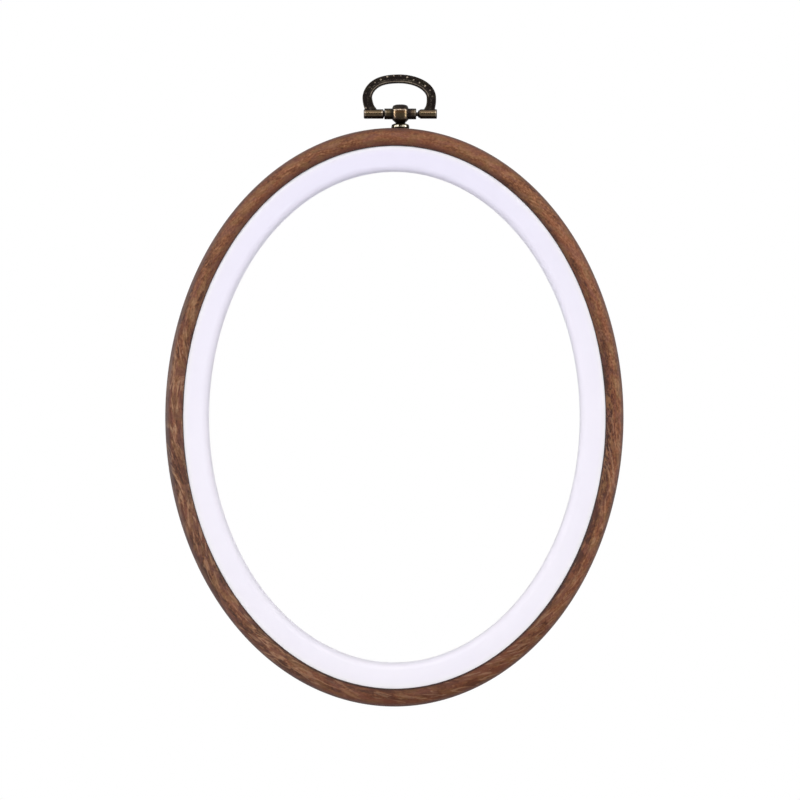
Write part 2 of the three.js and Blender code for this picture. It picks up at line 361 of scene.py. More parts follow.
def make_piece(name, points, faces, sharp_angle=crease, **attributes):
    """A named object from points in millimetres, groups of faces, and values painted on the points."""
    if volume_of(points, faces) < 0:
        faces = [group[:, ::-1] for group in faces]
    corners = np.concatenate([group.ravel() for group in faces])
    sizes = np.concatenate([np.full(len(group), group.shape[1]) for group in faces])
    mesh = bpy.data.meshes.new(name)
    mesh.vertices.add(len(points))
    mesh.vertices.foreach_set("co", (points * MM).astype(np.float32).ravel())
    mesh.loops.add(len(corners))
    mesh.loops.foreach_set("vertex_index", corners.astype(np.int32))
    mesh.polygons.add(len(sizes))
    mesh.polygons.foreach_set("loop_start", (np.cumsum(sizes) - sizes).astype(np.int32))
    mesh.update(calc_edges=True)
    for key, values in attributes.items():
        kind, part = ("FLOAT_VECTOR", "vector") if values.ndim == 2 else ("FLOAT", "value")
        mesh.attributes.new(key, kind, "POINT").data.foreach_set(part, values.astype(np.float32).ravel())
    smooth(mesh, sharp_angle)
    piece = bpy.data.objects.new(name, mesh)
    bpy.context.scene.collection.objects.link(piece)
    return piece


def smooth(mesh, sharp_angle):
    """Smooth shading, with a crease wherever two faces meet at more than the angle, in degrees."""
    mesh.polygons.foreach_set("use_smooth", np.ones(len(mesh.polygons), bool))
    mesh.set_sharp_from_angle(angle=np.radians(sharp_angle))
    mesh.update()


print("faces that meet at more than", crease, "degrees keep a crease")

# %% [markdown]
# Edges on moulded and cast parts are never sharp. An outline is written as its corners, each with its
# own radius, and each corner becomes an arc that touches both of its sides. A turned piece carries such
# an outline round an axis, and closes with a single point where the outline ends on the axis.

# %% Outlines and turned pieces
def rounded(corners, steps=6):
    """An outline from (x, y, radius) corners. The arc starts radius / tan(half angle) from its corner."""
    corners = np.array(corners, float)
    points = corners[:, :2]
    parts = []
    for i, radius in enumerate(corners[:, 2]):
        if radius == 0:
            parts.append(points[i : i + 1])
            continue
        back = points[i - 1] - points[i]
        ahead = points[(i + 1) % len(points)] - points[i]
        back, ahead = back / np.hypot(*back), ahead / np.hypot(*ahead)
        half = np.arccos(np.clip(back @ ahead, -1, 1)) / 2
        centre = points[i] + (back + ahead) / np.hypot(*(back + ahead)) * radius / np.sin(half)
        start = points[i] + back * radius / np.tan(half) - centre
        end = points[i] + ahead * radius / np.tan(half) - centre
        sweep = np.pi - 2 * half
        share = np.linspace(0, 1, steps + 1)[:, None]
        arc = start * np.sin((1 - share) * sweep) + end * np.sin(share * sweep)
        parts.append(centre + arc / np.sin(sweep))
    return np.concatenate(parts)


def turned(outline, sides, centre, along="Z", closed=False):
    """Points r cos a, r sin a and h round an axis, for (r, h) in the outline. Returns points and faces."""
    angle = np.linspace(0, 2 * np.pi, sides, endpoint=False)[None, :]
    rings = outline if closed else outline[1:-1]
    radius, height = rings[:, :1], rings[:, 1:] + 0 * angle
    across, upward = radius * np.cos(angle), radius * np.sin(angle)
    order = (height, across, upward) if along == "X" else (across, upward, height)
    points = np.stack(order, -1).reshape(-1, 3)
    faces = [grid_faces(len(rings), sides, closed)]
    if not closed:
        axis = np.array([1, 0, 0] if along == "X" else [0, 0, 1])
        faces += end_fans(len(rings), sides)
        points = np.concatenate([points, outline[[0, -1], 1:] * axis])
    return points + np.array(centre), faces


rounded_square = rounded([(0, 0, 1), (4, 0, 1), (4, 4, 1), (0, 4, 1)])
print("a square with round corners has", len(rounded_square), "points")


# %% Joining, cutting and dressing
def combine(piece, others, operation, sharp_angle=crease):
    """Joins other closed solids to a piece, or cuts them from it, and keeps only the result."""
    for other in others:
        change = piece.modifiers.new(operation.lower(), "BOOLEAN")
        change.operation = operation
        change.solver = "MANIFOLD"
        change.object = other
    depsgraph = bpy.context.evaluated_depsgraph_get()
    result = bpy.data.meshes.new_from_object(piece.evaluated_get(depsgraph))
    if len(result.vertices) in (0, len(piece.data.vertices)):
        raise ValueError(f"nothing changed on {piece.name}: is one of the solids open?")
    piece.modifiers.clear()
    piece.data = result
    result.name = piece.name
    for other in others:
        bpy.data.meshes.remove(other.data)
    smooth(result, sharp_angle)


def dress(piece, finish, body, slot, *nodes):
    """Gives a piece its finish and its body, and hides the frame's pieces that it stands for; slot is not
    used.
    """
    piece.data.materials.clear()
    piece.data.materials.append(finish.material)
    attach(piece, body)
    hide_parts(*nodes)
    triangles = sum(len(polygon.vertices) - 2 for polygon in piece.data.polygons)
    print(piece.name, "has", triangles, "triangles")


# %% [markdown]
# What is painted on a piece's points, and the relief on the bail, are sums of a few plain curves of a
# distance. A ramp rises once in a straight line and a step rises once smoothly, a ridge comes and goes,
# and a window stays at one between two smooth steps.

# %% Ramps, steps, ridges and windows
def ramp(value, low, width):
    """Nought up to low, one past low plus width, and straight between."""
    return np.clip((value - low) / width, 0, 1)


def step_up(value, middle, soft):
    """A smooth step from nought to one: 1 over 1 plus e to the minus distance past its middle over soft."""
    return 1 / (1 + np.exp(-(value - middle) / soft))


def ridge(value, centre, width):
    """A smooth ridge: e to the minus square of the distance to its centre over its width."""
    return np.exp(-(((value - centre) / width) ** 2))


def window(value, low, high, soft):
    """One between low and high and nought outside: the product of a smooth step up and one down."""
    return step_up(value, low, soft) * step_up(-value, -high, soft)


print("halfway up, a ramp and a step give", ramp(1.5, 1, 1), step_up(1.5, 1.5, 1))

# %% [markdown]
# ## The oval path
# Both rings follow one oval, the edge of the outer ring's opening. Equal steps of the ellipse's angle
# would crowd points at its flat sides, and the printed grain would stretch there. So its length is
# summed over a fine table, and the table is read backwards at even lengths. The path starts at twelve
# o'clock and runs clockwise as seen from the front.

# %% Stations round the oval
def oval_at(angle):
    """Places (a sin t, b cos t) on the oval, and the outward normal (b sin t, a cos t) made one long."""
    place = np.stack([opening_wide * np.sin(angle), opening_tall * np.cos(angle)], -1)
    outward = np.stack([opening_tall * np.sin(angle), opening_wide * np.cos(angle)], -1)
    return place, outward / np.linalg.norm(outward, axis=-1, keepdims=True)


def lengths_along(points):
    """The length of a line of points up to each of them: the sum of its steps so far."""
    return np.concatenate([[0.0], np.cumsum(np.hypot(*np.diff(points, axis=0).T))])


def even_angles(curve, start, end, count, closed=False):
    """Angles at even steps along a curve, the length at each, and the whole length."""
    table = np.linspace(start, end, 20001)
    length = lengths_along(curve(table)[0])
    wanted = np.linspace(0.0, length[-1], count, endpoint=not closed)
    return np.interp(wanted, length, table), wanted, length[-1]


oval_steps = 480
oval_angles, oval_lengths, oval_length = even_angles(oval_at, 0, 2 * np.pi, oval_steps, closed=True)
oval_places, oval_outward = oval_at(oval_angles)
oval_places = oval_places + oval_middle[[0, 2]]
path_step = oval_length / oval_steps
print("the opening's edge is", round(oval_length, 1), "mm long, in steps of", round(path_step, 2))


def carry_round(section):
    """Carries (out, back) points round the oval: place plus out times the outward normal, and back is Y."""
    points = np.empty((oval_steps, len(section), 3))
    points[..., [0, 2]] = oval_places[:, None, :] + section[None, :, :1] * oval_outward[:, None, :]
    points[..., 1] = section[None, :, 1]
    return points.reshape(-1, 3), [grid_faces(oval_steps, len(section), True)]


# %% [markdown]
# ## The flexible outer ring
# The vinyl is moulded with a crowned front. Its inner side reaches over the white ring as a thin lip,
# and its outer side rounds away deeper, which is why the outside edge looks greyer and softer in the
# photograph than the inside one. The section is two quarter ovals that meet at the top of the crown,
# and a plain back with small radii.

# %% Section of the outer ring
front = ring_low[1]
back = ring_high[1]
lip_reach = 1.2
lip_thickness = 1.5
lip_nose = 0.16
lip_edge = 0.1
lip_power = 1.6
back_round = 1.8
bore_bevel = 0.4
bore_edge = 0.15
wall_margin = 0.5
past_nose = 0.05


def quarter_oval(centre, wide, deep, start, end, steps, power=2.0):
    """Points at centre plus wide and deep times cos t and sin t, each to 2 / power, for t in degrees."""
    angle = np.radians(np.linspace(start, end, steps))
    cosine, sine = (np.sign(part) * np.abs(part) ** (2 / power) for part in (np.cos(angle), np.sin(angle)))
    return np.stack([centre[0] + wide * cosine, centre[1] + deep * sine], -1)


lip_back = front + lip_thickness
half_face = ring_face / 2
wall_start = front + shoulder
crown_deep = lip_thickness - lip_nose
wall_stations = np.linspace(wall_start, back - back_round - wall_margin, 5)
inner_crown = quarter_oval((half_face, lip_back - lip_nose), half_face, crown_deep, 180, 270, 26, lip_power)
outer_crown = quarter_oval((half_face, wall_start), half_face, shoulder, 270, 360, 22)
plain_back = rounded(
    [
        *((ring_face, place, 0) for place in wall_stations),
        (ring_face, back, back_round),
        (lip_reach + bore_bevel, back, bore_edge),
        (lip_reach, back - bore_bevel, bore_edge),
        (lip_reach, lip_back, lip_edge),
        (0, lip_back, lip_nose),
        (0, lip_back - lip_nose - past_nose, 0),
    ],
)
ring_section = np.concatenate([inner_crown, outer_crown[1:], plain_back[1:-1]])
print("the ring's section has", len(ring_section), "points")

# %% [markdown]
# The print's figure changes round the ring: smooth and warm at the top, streaked and knotty on the
# right, dark towards five and six o'clock, and feathered on the left. A texture that knows only the
# place in the room can't follow the ring, so the mesh itself carries the directions. Each point stores
# the cosine and sine of its turn round the ring, and its distance across the front, which runs on over
# the wall and the back. Read in that space, the pattern closes on itself without a seam. A second copy
# lets the distance across drift along the ring, so that streaks run out over the edge at a slant, and
# folds it where the feathers meet. The drift adds up to nought over a whole turn, so that it closes
# too. What differs by the hour is a sum of hills, each written as its height, its hour on the clock
# face and its width in hours.

# %% Directions that the outer ring carries
def hour_of(points):
    """The hour that a point lies at on a clock face laid over the oval."""
    turn = np.arctan2(points[:, 0] - oval_middle[0], points[:, 2] - oval_middle[2])
    return (turn / (2 * np.pi) * 12) % 12


def hills(hour, *rows):
    """The sum of ridges round the clock, for rows of height, hour and width."""
    return sum(height * ridge((hour - at + 6) % 12 - 6, 0, width) for height, at, width in rows)


section_depth = ring_section[:, 1]
section_lengths = lengths_along(ring_section)
wall_at = section_lengths[len(inner_crown) + len(outer_crown) - 2]
bore_at = section_lengths[section_depth > back - 1e-6].max()
lip_at = section_lengths[section_depth > lip_back + 0.05].max()
behind_places = [ring_face, ring_face + bore_at - wall_at, lip_reach]
behind_across = np.interp(section_lengths, [wall_at, bore_at, lip_at], behind_places)
print_across = np.where(section_depth < wall_start, ring_section[:, 0], behind_across)
print("the print runs from", round(wall_at, 2), "to", round(bore_at, 2), "mm over the wall and the back")

ring_points, ring_faces = carry_round(ring_section)
turn = np.repeat(oval_lengths / oval_length * 2 * np.pi, len(ring_section))
across = np.tile(print_across, oval_steps)
hour = hour_of(ring_points)

slant = hills(
    hour,
    (0.25, 1.2, 0.9),
    (0.28, 3.5, 0.5),
    (-0.3, 5.3, 0.9),
    (0.2, 7.1, 0.4),
    (-0.2, 7.9, 0.4),
    (0.34, 8.6, 0.3),
    (0.4, 9.6, 0.3),
    (-0.2, 10.8, 0.8),
)
slant_by_station = slant.reshape(oval_steps, -1).mean(1)
slant_by_station -= slant_by_station.mean()
drift = np.repeat(np.cumsum(slant_by_station) * path_step, len(ring_section))

fold_place = 2.8
fold_steep = 1.6
fold = hills(hour, (1.0, 9.2, 0.2))
folded = across * (1 - fold) + fold_steep * np.abs(across - fold_place) * fold
print("streaks drift by up to", round(float(np.abs(drift).max()), 2), "mm across the ring")

# %% [markdown]
# The same points carry painted light and shade over the print at each place, with the print's own
# tone, and where each kind of mark belongs. Out is counted as a share of the face, from nought at the
# lip to one at the wall. A painted highlight runs along the crown on a line that moves with the hour,
# painted light and shade make its outer side lighter or darker by the hour, painted shade darkens the
# inner edge and, on the left, the outer third, and the whole width is lighter or darker by the hour.
# A painted shadow draws a thin dark line along the lip, and the painted grey sheen of the outer edge
# fades again on the wall.

# %% Tone and marks that the outer ring carries
out_share = np.tile(ring_section[:, 0], oval_steps) / ring_face
in_front = ring_points[:, 1] < wall_start + 1e-6
on_wall = ramp(ring_points[:, 1], wall_start, 2.5)
inner_half = 1 - step_up(out_share, 0.45, 0.08)
outer_third = step_up(out_share, 0.66, 0.06)

# painted light and shade on the crown, which the print's tone carries with it
side_weight = 0.09
crest_weight = 0.19
crest_width = 0.22
crest_mean = 0.35
edge_shade = 0.2
lip_shade = 0.2
lip_shade_width = 0.15
# painted light: the outer side lighter or darker by the hour, and a painted highlight along the crest
outer_light = hills(hour, (0.8, 2.6, 1.9), (-1.1, 5.8, 1.3), (-1.3, 8.8, 1.3))
crest = 0.52 + hills(hour, (0.14, 3, 1.6), (-0.12, 6, 1.4), (-0.04, 9, 1.4))
crest_light = ridge(out_share, crest, crest_width) - crest_mean
hour_light = 0.008 + hills(hour, (0.1, 1.2, 0.9), (0.04, 4.1, 0.7), (-0.3, 5.75, 0.95))
hour_light += hills(hour, (0.04, 9.75, 0.6), (-0.11, 8, 1.5))
tone = side_weight * outer_light * (2 * out_share - 1) + crest_weight * crest_light + hour_light
# painted shade on the left's outer third and along the inner edge by the lip
tone -= edge_shade * hills(hour, (1.0, 8.8, 1.5)) * outer_third
tone -= lip_shade * ridge(out_share, 0, lip_shade_width)

figure = hills(hour, (0.6, 3.6, 0.8), (0.38, 5.4, 1.0), (0.6, 7.0, 0.5), (1.1, 8.8, 1.05))
specks = hills(hour, (1.0, 3.0, 1.2)) * (0.35 + 0.65 * inner_half) + hills(hour, (0.4, 8.9, 1.1))
edge_width = 0.034 + hills(hour, (0.05, 4.4, 0.9), (0.04, 6.2, 1.0))
edge_pull = 1 + hills(hour, (0.12, 9, 1.8))
no_line = 9.0

print_carried = {
    "grain": np.stack([np.cos(turn), np.sin(turn), across], -1),
    "streak": np.stack([np.cos(turn), np.sin(turn), folded - drift], -1),
    "figure": np.clip(figure, 0, 1),
    "specks": np.clip(specks, 0, 1),
    "knots": hills(hour, (1.0, 4.1, 0.5), (0.5, 2.3, 0.3)) * inner_half,
    "tone": tone,
    "rosy": hills(hour, (1.0, 8.5, 1.3), (0.6, 7.0, 0.7)),
    "warm": hills(hour, (1.1, 5.5, 1.1), (0.3, 0.0, 1.0)),
    "from_lip": np.where(in_front, out_share * edge_pull, 1.0 - 0.15 * on_wall),
    # a painted shadow: the thin dark line along the lip's edge
    "lip_shadow_line": np.where(in_front, out_share / edge_width, no_line),
    # painted shade on the crown's inner side, strongest at the top
    "shade_under_lip": hills(hour, (1.0, 0, 2.2)) * ridge(out_share, 0, 0.24),
}
print("print values are carried by", len(ring_points), "points")

# %% [markdown]
# The post's neck passes through the ring's top, and its screw head sits in a pocket behind the lip. Two
# round cutters take these away, as a drill would.

# %% Outer ring
round_sides = 96
neck_hole = 1.4
pocket_gap = 0.3
stack_gap = 0.05
drill_margin = 4.0
past_end = 1.0
washer_radius = half_size("screw_washer")
drill_start = screw_low[2] - drill_margin


def drill(name, radius, low, high, sides=round_sides):
    """An upright cutter on the post's axis, between two heights."""
    outline = np.array([(0, low), (radius, low), (radius, high), (0, high)], float)
    return make_piece(name, *turned(outline, sides, (0, 0, 0)))


outer_ring = make_piece("outer_ring_vinyl", ring_points, ring_faces, **print_carried)
cutters = [
    drill("neck_drill", neck_hole, drill_start, ring_high[2] + past_end),
    drill("pocket_drill", washer_radius + pocket_gap, drill_start, washer_high[2] + stack_gap),
]
combine(outer_ring, cutters, "DIFFERENCE")
print("outer ring cut:", len(outer_ring.data.vertices), "points")

# %% [markdown]
# ## Printed wood grain
# The grain is ink under a satin varnish, not wood. It is built as one value for how light the print is,
# from noises of several sizes: long soft bands, patches, slanting fibres, and strokes where the figure
# is strong, and the painted light and shade that the points carry is added to it. Stretching the grain
# space draws a noise out: the ring's turn is multiplied by few units and the distance across by many,
# so that each bump becomes a long thin streak. A ramp turns the value into ink, the same noises shift
# the ink towards red, olive or mauve, and the light strokes, the dark pores and the knots are printed
# last. Painted shade under the lip, a painted shadow line along the lip's edge and a painted grey sheen
# on the outer edge lie on top.

# %% Streaks and inks
turn_unit = oval_length / (2 * np.pi)


def streaks(finish, space, long, thin, detail=2.0, rough=0.5, twist=0.0):
    """Noise with bumps about long by thin millimetres, along the ring and across it."""
    vector = finish.stretch(space, (turn_unit / long, turn_unit / long, 1 / thin))
    return finish.noise(vector, detail, rough, 1.0, twist)


def ink_ramp(finish, light):
    """The ink for each lightness of the print, from a dark pore to a bright stroke."""
    stops = [
        (0.04, paint(54, 29, 20)),
        (0.28, paint(88, 52, 33)),
        (0.50, paint(121, 75, 48)),
        (0.72, paint(147, 96, 64)),
        (0.98, paint(180, 131, 95)),
    ]
    inks = finish.add("ValToRGB", {0: light})
    ramp_stops = inks.color_ramp.elements
    while len(ramp_stops) < len(stops):
        ramp_stops.new(0.5)
    for ramp_stop, (position, colour) in zip(ramp_stops, stops):
        ramp_stop.position = position
        ramp_stop.color = colour
    return inks.outputs[0]


print("one unit of the turn is", round(turn_unit, 1), "mm along the ring")


# %% Wood print finish
def wood_print():
    """Vinyl printed with a reddish-brown wood grain, satin, with painted light and shade over it."""
    finish = Finish("wood_print", Specular_IOR_Level=0.28, IOR=1.5, Roughness=0.5)
    grain = finish.painted("grain", "Vector")
    streak = finish.painted("streak", "Vector")
    figure = finish.painted("figure")
    specks = finish.painted("specks")
    bands = streaks(finish, grain, 24.0, 1.6, 2.0, 0.55, 0.4)
    patches = streaks(finish, streak, 5.0, 2.2, 2.0, 0.55, 0.5)
    blush = streaks(finish, streak, 4.0, 1.7, 1.0, 0.5, 0.3)
    fibres = streaks(finish, streak, 4.0, 0.5, 3.0, 0.65, 0.4)
    strokes = streaks(finish, streak, 6.5, 1.25, 2.0, 0.55, 1.3)
    pores = streaks(finish, streak, 1.2, 0.5, 2.0, 0.55, 0.3)
    knots = streaks(finish, grain, 2.6, 1.1, 2.0, 0.5, 0.5)
    grit = streaks(finish, grain, 0.8, 0.5, 1.0, 0.5)

    light = finish.unsettle(0.5, bands, 0.5)
    light = finish.unsettle(light, patches, finish.between(specks, 0, 1, 0.8, 1.5))
    light = finish.unsettle(light, fibres, finish.between(figure, 0, 1, 1.0, 1.6))
    light = finish.unsettle(light, strokes, finish.times(figure, 1.9))
    light = finish.unsettle(light, grit, 1.0)
    # the print's lightness, plus the painted light and shade that the points carry
    colour = ink_ramp(finish, finish.maths("ADD", light, finish.painted("tone")))

    bright = finish.times(finish.between(strokes, 0.52, 0.64), finish.times(figure, 0.8))
    pore = finish.times(finish.between(pores, 0.52, 0.61), finish.between(specks, 0, 1, 0.08, 0.9))
    knot = finish.times(finish.between(knots, 0.44, 0.56), finish.painted("knots"))
    # painted shadow line along the lip's edge
    lip_shadow_line = finish.between(finish.painted("lip_shadow_line"), 0.6, 1.9, 0.85, 0.0)
    # a painted grey sheen on the outer edge, which fades on the wall
    grey_edge_sheen = finish.between(finish.painted("from_lip"), 0.76, 0.99, 0.0, 0.65)
    inks_over = {
        "redder": (finish.between(bands, 0.42, 0.60, 0.0, 0.4), paint(136, 76, 54)),
        "olive": (finish.between(patches, 0.48, 0.62, 0.0, 0.42), paint(120, 91, 56)),
        "mauve": (finish.between(blush, 0.50, 0.64, 0.0, 0.34), paint(124, 80, 72)),
        "rosy": (finish.times(finish.painted("rosy"), 0.24), paint(114, 84, 73)),
        "warm": (finish.times(finish.painted("warm"), 0.5), paint(92, 46, 18)),
        "bright strokes": (bright, paint(168, 130, 101)),
        "pores and knots": (finish.maths("MAXIMUM", pore, finish.times(knot, 0.9)), paint(60, 32, 26)),
        "painted shade under the lip": (finish.times(finish.painted("shade_under_lip"), 0.62), paint(66, 40, 34)),
        "painted shadow line of the lip": (lip_shadow_line, paint(42, 25, 24)),
        "painted grey sheen of the edge": (grey_edge_sheen, paint(94, 72, 69)),
    }
    for share, ink in inks_over.values():
        colour = finish.mix(share, colour, ink)

    finish.give(Base_Color=colour, Roughness=finish.between(fibres, 0.3, 0.7, 0.46, 0.58))
    finish.bump(finish.maths("ADD", fibres, finish.times(pores, -0.5)), 0.04 * MM)
    return finish


dress(outer_ring, wood_print(), "flexible_ring", "grain_vinyl", "outer_ring")

# %% [markdown]
# ## The rigid inner ring
# This ring is one injection moulding: a wall that the vinyl grips, a wide flat band to the front, and
# an inner edge that turns back as a rim, so that the thin band stays stiff and the cloth's view of it
# is a soft round edge. Its section is written as corners with the radii that a mould leaves. The front
# has stations of its own near the lip, where its painted light changes quickly.

# %% Inner ring
band_front = band_low[1]
wall_back = band_high[1]
band_seen = 8.0
band_thickness = 1.7
band_edge = 2.4
rim_depth = 4.8
rim_thickness = 1.6
wall_thickness = 1.8
mould_edge = 0.3
root_radius = 0.5
front_stations = (-4.0, -2.5, -1.5, -1.0, -0.6, -0.2, 0.4)
light_beside_width = 1.1

wall_out = half_size("inner_ring") - opening_wide
wall_in = wall_out - wall_thickness
rim_out = -band_seen + rim_thickness
rim_back = band_front + rim_depth
band_back = band_front + band_thickness
inner_section = rounded(
    [
        (wall_out, band_front, mould_edge),
        (wall_out, wall_back, mould_edge),
        (wall_in, wall_back, mould_edge),
        (wall_in, band_back, root_radius),
        (rim_out, band_back, root_radius),
        (rim_out, rim_back, mould_edge),
        (-band_seen, rim_back, mould_edge),
        (-band_seen, band_front, band_edge),
        *((place, band_front, 0) for place in front_stations),
    ],
    steps=12,
)
inner_points, inner_faces = carry_round(inner_section)
on_front = inner_points[:, 1] < band_front + 0.1
band_carried = {
    # painted light: the front a touch whiter beside the lip, against the lip's shade
    "light_beside_lip": np.tile(ridge(inner_section[:, 0], 0, light_beside_width), oval_steps) * on_front,
    # painted shade: the band a trace greyer at the top
    "upper": hills(hour_of(inner_points), (1.0, 0, 2.2)),
}
inner_ring = make_piece("inner_ring_white", inner_points, inner_faces, **band_carried)
print("the inner ring's opening is", round(2 * (opening_wide - band_seen), 1), "mm across")

# %% [markdown]
# White plastic is never one even white. The moulding is a cool white with a trace of lavender. The
# photograph shows it a touch whiter beside the lip and a trace greyer at the top, and both are painted:
# painted light beside the lip, against the lip's shade, and painted shade at the top. The mould's polish
# left a satin front, and soft dents in it that only show in the gloss.

# %% White plastic finish
def white_plastic():
    """Cool white moulded plastic with a soft gloss."""
    finish = Finish("white_plastic", IOR=1.46, Specular_IOR_Level=0.4)
    drift = finish.noise(finish.place(), 2.0, 0.5, 45.0)
    dents = finish.noise(finish.place(), 2.0, 0.5, 160.0)
    colour = finish.mix(drift, paint(246, 242, 254), paint(250, 246, 255))
    # painted shade: a trace greyer at the top
    colour = finish.mix(finish.painted("upper"), colour, paint(238, 234, 251))
    # painted light: a touch whiter beside the lip, against the lip's shade
    colour = finish.mix(finish.times(finish.painted("light_beside_lip"), 0.7), colour, paint(255, 253, 255))
    finish.give(Base_Color=colour, Roughness=finish.between(drift, 0.3, 0.7, 0.42, 0.48))
    finish.bump(dents, 0.04 * MM)
    return finish


dress(inner_ring, white_plastic(), "rigid_ring", "white_plastic", "inner_ring")

# %% [markdown]
# ## The bail
# The bail is one small casting: a D-shaped band, decorated on its crown, that grows at each foot into
# a knuckle with a hole for the pin. Its path is half an oval over the crown and part of a taller oval
# down the arms. The casting isn't quite even: its crown stands a little to the left, and the left
# shoulder is fuller. The band's ends reach deep into the knuckles, so that no corner of them shows. Its
# section is a superellipse, a rounded bar between an ellipse and a rectangle.

# %% Path of the bail
bail_half = 10.3
bail_shoulder = 5.3
bail_band = 2.84
below_top = 0.001
bail_rise = bail_high[2] - pin_height - bail_shoulder - bail_band / 2 - below_top
knuckle_radius = pin_height - bail_low[2]
arm_draw_in = 1.0
foot_sink = 0.43
foot_root = 1.0
crown_lean = -0.32
left_fuller = 0.35
small_turn = 0.0005
arm_angle = np.arccos((bail_half - arm_draw_in) / bail_half)
arm_oval = (bail_shoulder - knuckle_radius + foot_sink) / np.sin(arm_angle)
root_angle = np.arcsin((bail_shoulder - knuckle_radius + foot_root) / arm_oval)


def bail_place(angle):
    """(a cos t, b sin t) above the shoulder and (a cos t, c sin t) below it, fuller at the left shoulder."""
    cosine, sine = np.cos(angle), np.sin(angle)
    height = bail_shoulder + np.where(sine > 0, bail_rise, arm_oval) * sine
    fuller = 4 * left_fuller * np.clip(-cosine, 0, 1) ** 2 * np.clip(sine, 0, 1) ** 2
    lean = crown_lean * np.clip(height / bail_shoulder, 0, 1)
    return np.stack([bail_half * cosine + lean, pin_height + height + fuller], -1)


def bail_at(angle):
    """The place at an angle, and the outward normal: a small step along the path, turned by 90 degrees."""
    step = bail_place(angle + small_turn) - bail_place(angle - small_turn)
    outward = np.stack([step[..., 1], -step[..., 0]], -1)
    return bail_place(angle), outward / np.linalg.norm(outward, axis=-1, keepdims=True)


bail_steps = 460
bail_angles, bail_lengths, bail_length = even_angles(bail_at, -root_angle, np.pi + root_angle, bail_steps)
bail_seen = even_angles(bail_at, -arm_angle, np.pi + arm_angle, bail_steps)[2]
bail_places, bail_outward = bail_at(bail_angles)
print("the bail's band is", round(bail_length, 1), "mm long, of which", round(bail_seen, 1), "show")

# %% [markdown]
# The crown's decoration is raised in the casting: a thin line along the inner edge, a row of small
# beads that wanders along the outer half, and between them a fine braid of two crossing waves on a
# slightly sunk field. Each is a height above the band as a function of two distances, along the band
# and across it, and the heights simply add up. What stands up is also what rubs bright, so the wear
# comes from the same shapes. The arms keep only a faint rib, and one bead sits low on the left one.
# The arms are also a little wider than the crown, and both feet flare into their knuckles.

# %% Relief on the bail
bead_spacing = 2.08
bead_start = -0.57
bead_radius = 0.33
bead_height = 0.2
braid_pitch = 1.5
braid_out = -0.34
braid_swing = 0.17
strand_width = 0.07
strand_height = 0.075
line_out = -0.86
line_width = 0.14
line_height = 0.1
field_from = -0.70
field_to = 1.12
field_depth = 0.085
rib_width = 0.34
rib_height = 0.03
line_shine = 6.6
strand_shine = 0.3
bead_shine = 3.4
third_bead_shine = 0.8
third_bead_at = -2.65
left_duller = 0.55
rib_shine = 8
foot_shine = 3.0
crown_half = bail_seen / 2 - 4.6
foot_bead = (bail_seen / 2 - 1.5, 1.0)


def bead(along, out):
    """A bead's height: full height times the root of one minus the squared distance in bead radii."""
    return bead_height * np.sqrt(np.clip(1 - (along**2 + out**2) / bead_radius**2, 0, 1))


def bead_row(along):
    """Where the beads lie across the band: read between the places of a wandering row."""
    row_along = [-12.0, -8.3, -6.2, -4.1, -2.0, 0.0, 2.1, 4.1, 6.2, 8.3, 12.0]
    row_out = [0.35, 0.05, 0.05, 0.15, 0.82, 0.92, 0.98, 0.82, 0.25, 0.35, 0.5]
    return np.interp(along, row_along, row_out)


def bead_polish(along):
    """How strongly a bead shines: every third one most, and those low on the left side less."""
    every_third = np.cos(2 * np.pi * (along - third_bead_at) / (3 * bead_spacing))
    left_end = window(along, 8, 20, 0.5)
    return (bead_shine + third_bead_shine * every_third) * (1 - left_duller * left_end)


def relief_at(along, out):
    """Height in millimetres, and wear, at a place along the band from its middle and out across it."""
    crown = window(along, -crown_half, crown_half, 0.25)
    line = line_height * ridge(out, line_out, line_width)
    field = -field_depth * window(out, field_from, field_to, 0.045)
    nearest = np.round((along - bead_start) / bead_spacing) * bead_spacing + bead_start
    beads = bead(along - nearest, out - bead_row(nearest))
    swing = braid_swing * np.sin(2 * np.pi * along / braid_pitch)
    strands = ridge(out, braid_out + swing, strand_width) + ridge(out, braid_out - swing, strand_width)
    strands = np.clip(strands, 0, 1)
    rib = rib_height * ridge(out, 0, rib_width)
    foot = bead(along - foot_bead[0], out - foot_bead[1])
    height = crown * (line + field + beads + strand_height * strands) + (1 - crown) * rib + foot
    wear_and_glints = crown * (line_shine * line + bead_polish(nearest) * beads + strand_shine * strands)
    wear_and_glints += (1 - crown) * rib_shine * rib + foot_shine * foot
    return height, wear_and_glints


print("beads and braid reach", round(crown_half, 2), "mm to each side of the crown's middle")


# %% Section of the bail's band
def superellipse(count, wide, deep, power):
    """|x / wide| and |y / deep|, each to the power, add up to one. Points lie at even steps along it."""
    outline = quarter_oval((0, 0), wide, deep, 0, 360, 8001, power)
    length = lengths_along(outline)
    wanted = np.linspace(0, length[-1], count, endpoint=False)
    return np.interp(wanted, length, outline[:, 0]), np.interp(wanted, length, outline[:, 1])


bail_thickness = 2.0
section_points = 104
section_power = 4.2
foot_wider = 0.16
foot_thicker = 0.1
left_foot_wider = 0.07
arms_wider = 0.07
section_out, section_back = superellipse(section_points, bail_band / 2, bail_thickness / 2, section_power)
along = (bail_lengths - bail_length / 2)[:, None]
to_end = np.clip(bail_seen / 2 - np.abs(along), 0, None)
flare = ridge(to_end, 0, 0.9)
left_foot = window(along, bail_seen / 2 - 4.5, bail_length, 0.8)
arms = 1 - window(along, -8.0, 8.0, 1.2)
wider = foot_wider * flare + left_foot_wider * left_foot + arms_wider * arms
out = section_out[None, :] * (1 + wider)
relief, worn = relief_at(along, section_out[None, :])
facing = ramp(np.abs(section_back) / (bail_thickness / 2), 0.5, 0.4)[None, :]
thick = section_back[None, :] * (1 + foot_thicker * flare)
thick = thick + np.sign(section_back)[None, :] * relief * facing

